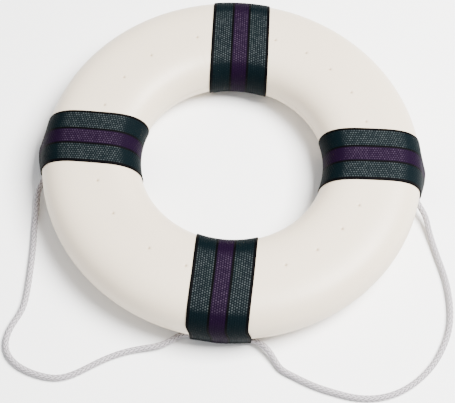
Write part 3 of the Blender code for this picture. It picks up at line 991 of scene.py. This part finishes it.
@dataclass
class Strap:
    """Webbing pulled tight round the ring and the rope, its end lapped over its start and sewn."""

    form: RingForm
    rope: GrabLine
    place: Turn
    # how far the middle stands beside its turn, how far the strap's lower outer end sways and its
    # whole outside leans, and how far each edge is drawn in where it wraps the rope
    sideways: float
    sway: float = 0.0
    lean: float = 0.0
    gather: float = 0.0
    width: float = 79.0 * MM
    thick: float = 1.3 * MM
    gap: float = 0.4 * MM
    rope_clear: float = 0.5 * MM
    # how far the end laps the start, where on the section in degrees, and how soon it has climbed
    lap: float = 17.0 * MM
    lap_start: float = -136.0
    climb: float = 5 * MM
    threads: int = 121
    back_threads: int = 9
    directions: int = 720
    selvedge_r: float = 0.25 * MM
    edge_width: float = 0.9 * MM
    edge_thick: float = 0.35
    # height of the crowns, and the share of it that lies below the webbing's mean face
    relief: float = 0.22 * MM
    crown_level: float = 0.6
    step: float = 0.88 * MM
    stitch: float = 3.4 * MM
    stitch_gap: float = 1.1 * MM
    thread_r: float = 0.42 * MM
    seam_inset: float = 3.5 * MM
    stitch_clear: float = 0.05 * MM
    stitch_dip: float = 0.35 * MM
    stitch_rings: int = 7
    stitch_sides: int = 8
    # the way that the webbing faces where its crowns take painted glints, and how much painted glint
    # is left elsewhere
    glint_way: Point = (0.0, -0.17, 0.985)
    least_glint: float = 0.04
    glint_starts: float = 0.90
    glint_fades: float = 0.08

    def taut_outlines(self, offsets: np.ndarray) -> tuple[np.ndarray, np.ndarray, np.ndarray]:
        """Stretch an outline round the ring's section and the rope beside it, for each thread.

        In each direction the outline is at whichever is further out: the section grown by the gap,
        or the circle round the rope.

        Args:
            offsets: Each thread's distance from the strap's radius of the ring.

        Returns:
            Points (thread, direction, 2), directions as angles, length so far (thread, direction).
        """
        places = np.linspace(0, 360, 4 * self.directions, endpoint=False)
        body, normals = self.form.section(places)
        body = body + normals * self.gap
        start = self.form.section(np.array([self.lap_start]))[1][0]
        facing = np.arctan2(start[1], start[0]) + np.linspace(0, 2 * np.pi, self.directions + 1)
        out = np.stack([np.cos(facing), np.sin(facing)], axis=-1)
        reach = out @ body.T
        furthest = np.argmax(reach, axis=1)
        held = offsets - self.gather * (offsets - self.sideways) / (self.width / 2)
        azimuth = self.place.value + np.degrees(np.arcsin(held / (self.form.outer_r + self.gap)))
        turns, spots = self.rope.beside_ring()
        centre = [np.interp(azimuth % 360, turns, axis, period=360) for axis in spots.T]
        centre = np.stack(centre, axis=-1)
        sleeve = self.rope.sleeve_r - self.rope.radius
        radius = self.rope.radius + sleeve * self.rope.swell(azimuth) + self.rope_clear
        round_rope = centre[:, None] + radius[:, None, None] * out[None]
        past = centre @ out.T + radius[:, None] > reach.max(axis=1)[None]
        points = np.where(past[..., None], round_rope, body[furthest][None])
        length = np.linalg.norm(np.diff(points, axis=1), axis=2).cumsum(axis=1)
        return points, facing, np.concatenate([np.zeros((len(offsets), 1)), length], axis=1)

    def lay(self, offsets: np.ndarray, shares: np.ndarray, heights: np.ndarray) -> np.ndarray:
        """Place webbing points on the taut outline, and shift them along the strap's width.

        The lean fades in towards the ring's outside by a smooth step, the sway towards the outside's
        lower half, and the gathering, a share of the width, below the widest part.

        Args:
            offsets: Distance of each thread from the strap's radius.
            shares: Shares of the way round (share) or (share, thread), past 1 where the end laps.
            heights: Height off the taut outline (share, thread).

        Returns:
            Points (share, thread, 3).
        """
        points, facing, length = self.taut_outlines(offsets)
        whole = np.mod(np.broadcast_to(shares.reshape(len(shares), -1), heights.shape), 1.0)
        spots = np.empty((*heights.shape, 2))
        ways = np.empty_like(spots)
        for column in range(len(offsets)):
            run = length[column] / length[column, -1]
            turned = np.interp(whole[:, column], run, facing)
            for axis in (0, 1):
                spots[:, column, axis] = np.interp(whole[:, column], run, points[column, :, axis])
            ways[:, column] = np.stack([np.cos(turned), np.sin(turned)], axis=-1)
        spots = spots + heights[..., None] * ways
        outer = smooth_step((spots[..., 0] / self.form.half_width + 0.2) / 1.2)
        upright = spots[..., 1] / self.form.half_depth
        end = outer * smooth_step((0.45 - upright) / 0.6)
        below = smooth_step(0.15 - upright / 0.45)
        below = below * smooth_step((spots[..., 0] / self.form.half_width - 0.1) / 0.6)
        spread = (offsets - self.sideways)[None] / (self.width / 2)
        side = offsets[None] + outer * self.lean + end * self.sway - below * self.gather * spread
        reach = self.form.middle_r + spots[..., 0]
        ahead = np.sqrt(reach**2 - side**2)
        turn = np.radians(self.place.value)
        x = ahead * np.cos(turn) - side * np.sin(turn)
        y = ahead * np.sin(turn) + side * np.cos(turn)
        return np.stack([x, y, self.form.middle_z + spots[..., 1]], axis=-1)

    def rise(self, shares: np.ndarray, total: float) -> np.ndarray:
        """Height by which the lapped end has climbed over the start."""
        climb = self.climb / total
        return (self.thick + self.gap) * smooth_step((shares - (1 - climb)) / climb)

    def crowns(self, across: np.ndarray, along: np.ndarray) -> np.ndarray:
        """Height of the woven crowns, as in the finish: one less four times the squared distance."""
        column = across / WEAVE_CELL[0]
        row = along / WEAVE_CELL[1] + 0.5 * (np.floor(column) % 2)
        spread = (column % 1 - 0.5) ** 2 + (row % 1 - 0.5) ** 2
        return np.clip(1 - 4 * spread, 0, 1)

    def band(self) -> tuple[bpy.types.Object, float]:
        """Weave the band: a closed section of outer face, round selvedges and inner face, swept.

        Returns:
            The new piece and the length of one turn.
        """
        half = self.width / 2
        outer = np.linspace(-half, half, self.threads)
        inset = self.selvedge_r
        inner = np.linspace(half - inset, -half + inset, self.back_threads)
        across = np.r_[outer, inner]
        total = float(self.taut_outlines(np.array([self.sideways]))[2][0, -1])
        end = 1 + self.lap / total
        shares = np.linspace(0, end, int(round(end * total / self.step)) + 1)
        along = shares * total
        edge = np.clip((np.abs(outer) - (half - self.edge_width)) / self.edge_width, 0, 1)
        round_edge = self.edge_thick + (1 - self.edge_thick) * np.sqrt(1 - edge**2)
        bumps = self.crowns(outer[None] / MM, along[:, None] / MM) - self.crown_level
        heights = np.zeros((len(shares), len(across)))
        heights[:, : len(outer)] = self.thick * round_edge + self.relief * bumps * (1 - edge)
        heights += self.rise(shares, total)[:, None]
        grid = self.lay(self.sideways + across, shares, heights)
        grid[..., 2] = np.maximum(grid[..., 2], 0.0)
        flat = np.stack(np.broadcast_arrays(across[None] / MM, along[:, None] / MM), axis=-1)
        middle, last = self.threads // 2, self.threads - 1
        way = np.cross(np.gradient(grid[:, middle], axis=0), grid[:, last] - grid[:, 0])
        way *= np.sign(way[len(way) // 2, 2]) / np.linalg.norm(way, axis=1, keepdims=True)
        # painted glint: the crowns turn pale only where the band faces the glint way, and fade
        # elsewhere
        painted_glint = smooth_step((way @ self.glint_way - self.glint_starts) / self.glint_fades)
        painted_glint = self.least_glint + (1 - self.least_glint) * painted_glint
        marks = {"painted_glint": np.broadcast_to(painted_glint[:, None], grid.shape[:2])}
        name = f"webbing_{self.place.name.lower()}"
        return make_piece(name, grid, flip=True, flat=flat, marks=marks, crease=60), total

    def stitches(self, total: float) -> bpy.types.Object:
        """Sew the lap: a box of short round stitches, each dipping into the cloth at its ends.

        Args:
            total: Length of one turn of the band.

        Returns:
            The new piece.
        """
        half = self.width / 2 - self.seam_inset
        low, high = self.seam_inset, self.lap - self.seam_inset
        corners = np.array([(-half, low), (half, low), (half, high), (-half, high), (-half, low)])
        pitch = self.stitch + self.stitch_gap
        middles, ways = [], []
        for one, two in zip(corners[:-1], corners[1:]):
            run = np.linalg.norm(two - one)
            count = int(run // pitch)
            share = (np.arange(count) + 0.5) / count
            middles.append(one + share[:, None] * (two - one))
            ways.append(np.tile((two - one) / run, (count, 1)))
        middle, way = np.vstack(middles), np.vstack(ways)
        run = np.linspace(-1, 1, self.stitch_rings)
        spine = middle[:, None] + run[None, :, None] * way[:, None] * self.stitch / 2
        dip = (1 - run**2) * self.stitch_dip
        height = 2 * self.thick + self.gap + self.stitch_clear + np.tile(dip, len(middle))
        flat = spine.reshape(-1, 2)
        lifted = [self.on_cloth(flat, total, height + more) for more in (0.0, MM)]
        centre = lifted[0].reshape(len(middle), self.stitch_rings, 3)
        up = (lifted[1] - lifted[0]).reshape(centre.shape) / MM
        ahead = np.gradient(centre, axis=1)
        ahead /= np.linalg.norm(ahead, axis=2, keepdims=True)
        beside = np.cross(up, ahead)
        angle = np.arange(self.stitch_sides) / self.stitch_sides * 2 * np.pi
        size = self.thread_r * np.sqrt(np.clip(1 - (0.93 * run) ** 6, 0.02, 1))
        spoke = np.cos(angle)[:, None] * up[:, :, None]
        spoke = spoke + np.sin(angle)[:, None] * beside[:, :, None]
        grid = centre[:, :, None] + size[None, :, None, None] * spoke
        return sewn(f"stitches_{self.place.name.lower()}", grid)

    def on_cloth(self, flat: np.ndarray, total: float, height: np.ndarray) -> np.ndarray:
        """Place points of the lap, given as (across, along), at heights off the outline."""
        shares = (1 + flat[:, 1] / total)[None]
        return self.lay(self.sideways + flat[:, 0], shares, height[None])[0]

    def build(self, cloth: bpy.types.Material, thread: bpy.types.Material) -> None:
        """Make and dress the band and its stitches."""
        side = self.place.name.lower()
        band, total = self.band()
        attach(band, "ring")
        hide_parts(f"strap_{side}")
        dress(band, cloth)
        sewing = self.stitches(total)
        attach(sewing, "ring")
        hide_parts(f"stitching_{side}")
        dress(sewing, thread)


def sewn(name: str, grid: np.ndarray) -> bpy.types.Object:
    """Join many short closed tubes into one piece.

    Args:
        name: The piece's name.
        grid: Points as (tube, ring, place round the ring, xyz).

    Returns:
        The new piece, with its crown and yarn attributes.
    """
    tubes, rings, sides = grid.shape[:3]
    quads = ring_quads(rings, sides, False)
    shift = (np.arange(tubes) * rings * sides)[:, None]
    walls = (quads.ravel()[None] + shift).reshape(-1, 4)
    starts = (np.arange(sides)[None] + shift).reshape(-1, sides)
    ends = (np.arange((rings - 1) * sides, rings * sides)[::-1][None] + shift).reshape(-1, sides)
    mesh = bpy.data.meshes.new(name)
    faces = [*walls.tolist(), *starts.tolist(), *ends.tolist()]
    mesh.from_pydata(grid.reshape(-1, 3).tolist(), [], faces)
    mesh.shade_smooth()
    around = np.broadcast_to(np.arange(sides) / sides, grid.shape[:3])
    return link_piece(name, mesh, {"crown": np.ones(grid.shape[:3]), "yarn": around})


# ---------------------------------------------------------------- the studio


def stand(across: np.ndarray, over: np.ndarray, back: np.ndarray, place: Point) -> Matrix:
    """Make a matrix whose columns are three axes, across, over and back, and a place."""
    matrix = np.eye(4)
    matrix[:3] = np.stack([across, over, back, place], axis=1)
    return Matrix(matrix.tolist())


@dataclass(frozen=True)
class Studio:
    """Camera, floor and soft lights."""

    eye: Point = (-0.0036, -0.8951, 1.5722)
    elevation: float = 61.44
    roll: float = 2.81
    lens: float = 104.4
    key: tuple = ((1.25, 0.10, 2.40), 1.4, 430.0, (1.0, 0.99, 0.97))
    fill: tuple = ((-1.6, -1.2, 2.2), 2.4, 20.0, (0.93, 0.96, 1.0))
    even_light: float = 0.55
    floor_drop: float = 0.2 * MM
    floor_reach: float = 6.0
    floor_grey: float = 0.95
    white: tuple = (1.0, 1.0, 1.0, 1.0)

    def camera(self) -> None:
        """Stand the camera over the near side, turned a little about its own view."""
        data = bpy.data.cameras.new("camera")
        data.lens, data.sensor_width, data.sensor_fit = self.lens, 36.0, "HORIZONTAL"
        data.clip_end = 50.0
        rise, roll = np.radians(self.elevation), np.radians(self.roll)
        right, up = np.array([1.0, 0, 0]), np.array([0, np.sin(rise), np.cos(rise)])
        back = np.array([0, -np.cos(rise), np.sin(rise)])
        across = right * np.cos(roll) + up * np.sin(roll)
        over = up * np.cos(roll) - right * np.sin(roll)
        camera = bpy.data.objects.new("camera", data)
        camera.matrix_world = stand(across, over, back, self.eye)
        bpy.context.scene.collection.objects.link(camera)
        bpy.context.scene.camera = camera

    def light(self, name: str, place: Point, size: float, power: float, colour: Colour) -> None:
        """Hang a square soft light that faces the ring.

        Args:
            name: The light's name.
            place: Where it hangs.
            size: Its side.
            power: Its power in watts.
            colour: Its colour.
        """
        data = bpy.data.lights.new(name, "AREA")
        data.size, data.energy, data.color = size, power, colour
        back = np.array(place) / np.linalg.norm(place)
        side = np.cross((0.0, 1.0, 0.0), back)
        side /= np.linalg.norm(side)
        light = bpy.data.objects.new(name, data)
        light.matrix_world = stand(side, np.cross(back, side), back, place)
        bpy.context.scene.collection.objects.link(light)

    def floor(self) -> None:
        """Lay a wide pale floor just under the webbing."""
        mesh = bpy.data.meshes.new("floor")
        reach, low = self.floor_reach, -self.floor_drop
        sides = ((-reach, -reach), (reach, -reach), (reach, reach), (-reach, reach))
        mesh.from_pydata([(x, y, low) for x, y in sides], [], [(0, 1, 2, 3)])
        material, _, shader = open_material("pale_floor")
        shader.inputs["Base Color"].default_value = (*(self.floor_grey,) * 3, 1.0)
        shader.inputs["Roughness"].default_value = 0.9
        mesh.materials.append(material)
        floor = bpy.data.objects.new("floor", mesh)
        bpy.context.scene.collection.objects.link(floor)

    def build(self) -> None:
        """Set up the camera, the floor, the lights and the even light all round."""
        self.camera()
        self.floor()
        self.light("key", *self.key)
        self.light("fill", *self.fill)
        world = bpy.data.worlds.new("studio")
        world.use_nodes = True
        sky = world.node_tree.nodes["Background"]
        sky.inputs["Color"].default_value = self.white
        sky.inputs["Strength"].default_value = self.even_light
        bpy.context.scene.world = world


def ring_form() -> RingForm:
    """Read the ring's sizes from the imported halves."""
    front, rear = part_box("front_shell"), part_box("rear_shell")
    top, bottom = front[1][2], rear[0][2]
    outer_r = round(front[1][0], 4)
    return RingForm(outer_r, HOLE_R, half_depth=(top - bottom) / 2, middle_z=(top + bottom) / 2)


def dress_frame(foam: bpy.types.Material, sleeve: bpy.types.Material) -> None:
    """Give the CAD pieces that stay their finishes."""
    for node, finish in (("foam_core", foam), ("line_joining_sleeve", sleeve)):
        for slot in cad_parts[node].material_slots:
            slot.material = finish
        log.info("%s keeps its shape, %s", node, finish.name)


def main() -> None:
    """Build the studio, the rope, the ring, the webbing and the hidden pieces, in that order."""
    logging.basicConfig(level=logging.INFO, format="%(name)s: %(message)s")
    studio = Studio()
    studio.build()
    form = ring_form()
    grain, weave = grain_group(), weave_group()
    rope = GrabLine(form)
    # the second colour is painted shade for the gaps between the rope's strands
    braid = FibreFinish("white_braid", (0.42, 0.395, 0.415), (0.016, 0.009, 0.014), 0.72)
    rope.build(braid.build())
    skin = SkinFinish().build(grain)
    MouldedSkin(form).build(skin)
    cloth = WebbingFinish().build(weave)
    thread = FibreFinish("dark_thread", (0.02, 0.03, 0.035), (0.008, 0.012, 0.014), 0.55, 3.0)
    sewing = thread.build()
    straps = (
        Strap(form, rope, Turn.RIGHT, -1.4 * MM, gather=9.5 * MM),
        Strap(form, rope, Turn.TOP, -2.6 * MM),
        Strap(form, rope, Turn.LEFT, 0.4 * MM, gather=9.5 * MM),
        Strap(form, rope, Turn.BOTTOM, 5.2 * MM, sway=5.0 * MM, lean=-1.0 * MM),
    )
    for strap in straps:
        strap.build(cloth, sewing)
    foam = SkinFinish("core_foam", (0.70, 0.58, 0.34), (0.45, 0.33, 0.15), 0.9, 30.0, 30.0, 0.3)
    sleeve = SkinFinish("pale_sleeve", (0.70, 0.70, 0.71), (0.45, 0.45, 0.46), 0.5, 60.0, 20.0, 0.05)
    dress_frame(foam.build(grain), sleeve.build(grain))


if __name__ == "__main__":
    main()
